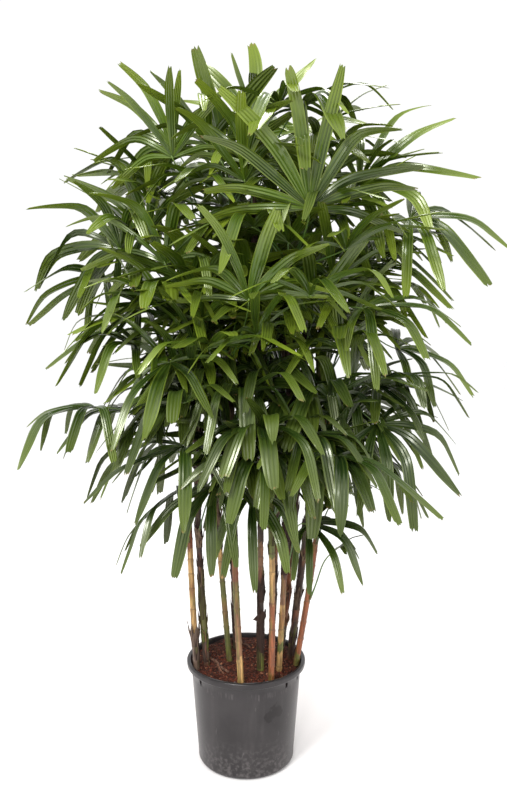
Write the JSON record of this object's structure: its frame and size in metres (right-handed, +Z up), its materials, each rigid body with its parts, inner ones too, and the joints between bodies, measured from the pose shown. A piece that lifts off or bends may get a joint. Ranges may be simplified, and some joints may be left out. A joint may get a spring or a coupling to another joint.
{
  "type": "lady palm",
  "caption": "Tall clump of slender palm canes with fans of long pleated leaflets, standing in a round tapered nursery pot filled with bark compost.",
  "frame": {"origin": "centre of the pot's flat underside, at floor level", "axes": "+Z up along the pot's axis, -Y towards the side that the picture shows, +X to the right in the picture"},
  "size_m": [1.2721, 1.1426, 1.924],
  "materials": {
    "pot_plastic": "satin moulded plastic with light scuffs",
    "compost": "coarse moist bark compost",
    "cane": "ringed cane with old fibrous sheaths",
    "leaf": "pleated leaf with a soft sheen"
  },
  "bodies": {
    "root": {"pot": "pot_plastic", "compost": "compost", "cane_01": "cane", "cane_02": "cane", "cane_03": "cane", "cane_04": "cane", "cane_05": "cane", "cane_06": "cane", "cane_07": "cane", "cane_08": "cane", "cane_09": "cane", "cane_10": "cane", "cane_11": "cane", "cane_12": "cane", "crown_01": "leaf", "crown_02": "leaf", "crown_03": "leaf", "crown_04": "leaf", "crown_05": "leaf", "crown_06": "leaf", "crown_07": "leaf", "crown_08": "leaf", "crown_09": "leaf", "crown_10": "leaf", "crown_11": "leaf", "crown_12": "leaf", "frond_01": "leaf", "frond_02": "leaf", "frond_03": "leaf", "frond_04": "leaf", "frond_05": "leaf", "frond_06": "leaf", "frond_07": "leaf", "frond_08": "leaf", "frond_09": "leaf", "frond_10": "leaf", "frond_11": "leaf", "frond_12": "leaf", "frond_13": "leaf", "frond_14": "leaf", "frond_15": "leaf", "frond_16": "leaf", "frond_17": "leaf", "frond_18": "leaf", "frond_19": "leaf", "frond_20": "leaf", "frond_21": "leaf", "frond_22": "leaf", "frond_23": "leaf", "frond_24": "leaf", "frond_25": "leaf", "frond_26": "leaf", "frond_27": "leaf", "frond_28": "leaf", "frond_29": "leaf", "frond_30": "leaf", "frond_31": "leaf", "frond_32": "leaf", "frond_33": "leaf", "frond_34": "leaf"}
  },
  "joints": []
}
